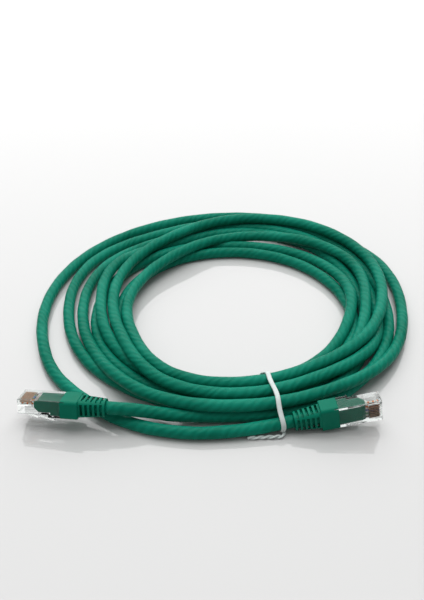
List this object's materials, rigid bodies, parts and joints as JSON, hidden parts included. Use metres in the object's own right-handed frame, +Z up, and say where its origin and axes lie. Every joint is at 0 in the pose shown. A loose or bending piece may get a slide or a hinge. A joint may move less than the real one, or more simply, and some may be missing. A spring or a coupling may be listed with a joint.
{
  "type": "ethernet patch cable",
  "caption": "Coiled network patch cable in a round green jacket, with a clear modular plug and a slotted strain-relief boot on each end, held by a white tie.",
  "frame": {"origin": "middle of the coiled cable's footprint, on the surface that it lies on", "axes": "+Z up; the plugs and the tie lie on the -Y side, the left plug's nose points along -X and the right plug's along +X"},
  "size_m": [0.1997, 0.2021, 0.0167],
  "materials": {
    "green_jacket": "satin PVC, faintly rope-like from the twisted pairs inside",
    "green_boot": "satin moulded PVC",
    "clear_plug": "clear polished polycarbonate",
    "gold_contacts": "gold-plated",
    "copper": "bare copper",
    "white_orange_wire": "white with an orange stripe",
    "orange_wire": "plain",
    "white_green_wire": "white with a green stripe",
    "blue_wire": "plain",
    "white_blue_wire": "white with a blue stripe",
    "green_wire": "plain",
    "white_brown_wire": "white with a brown stripe",
    "brown_wire": "plain",
    "white_tie": "smooth white coating",
    "tie_wire": "soft galvanised wire"
  },
  "bodies": {
    "root": {"left_housing": "clear_plug", "left_contacts": "gold_contacts", "left_white_orange_wire": "white_orange_wire", "left_orange_wire": "orange_wire", "left_white_green_wire": "white_green_wire", "left_blue_wire": "blue_wire", "left_white_blue_wire": "white_blue_wire", "left_green_wire": "green_wire", "left_white_brown_wire": "white_brown_wire", "left_brown_wire": "brown_wire", "left_copper_cores": "copper", "left_boot": "green_boot", "left_jacket_end": "green_jacket", "right_housing": "clear_plug", "right_contacts": "gold_contacts", "right_white_orange_wire": "white_orange_wire", "right_orange_wire": "orange_wire", "right_white_green_wire": "white_green_wire", "right_blue_wire": "blue_wire", "right_white_blue_wire": "white_blue_wire", "right_green_wire": "green_wire", "right_white_brown_wire": "white_brown_wire", "right_brown_wire": "brown_wire", "right_copper_cores": "copper", "right_boot": "green_boot", "right_jacket_end": "green_jacket", "left_lead": "green_jacket", "right_lead": "green_jacket", "cable_coil": "green_jacket", "tie_sheath": "white_tie", "tie_wire": "tie_wire"},
    "left_latch": {"left_latch_tab": "clear_plug"},
    "right_latch": {"right_latch_tab": "clear_plug"}
  },
  "joints": [
    {"name": "left_latch_bend", "type": "hinge", "parent": "root", "child": "left_latch", "pos_m": [-0.0921, -0.08535, 0.00598], "axis": [-0.1423, -0.9502, 0.2772], "range_deg": [0, 10], "stiffness_Nm_per_rad": 0.1},
    {"name": "right_latch_bend", "type": "hinge", "parent": "root", "child": "right_latch", "pos_m": [0.0672, -0.08473, 0.01065], "axis": [-0.15, 0, 0.9887], "range_deg": [0, 10], "stiffness_Nm_per_rad": 0.1}
  ]
}
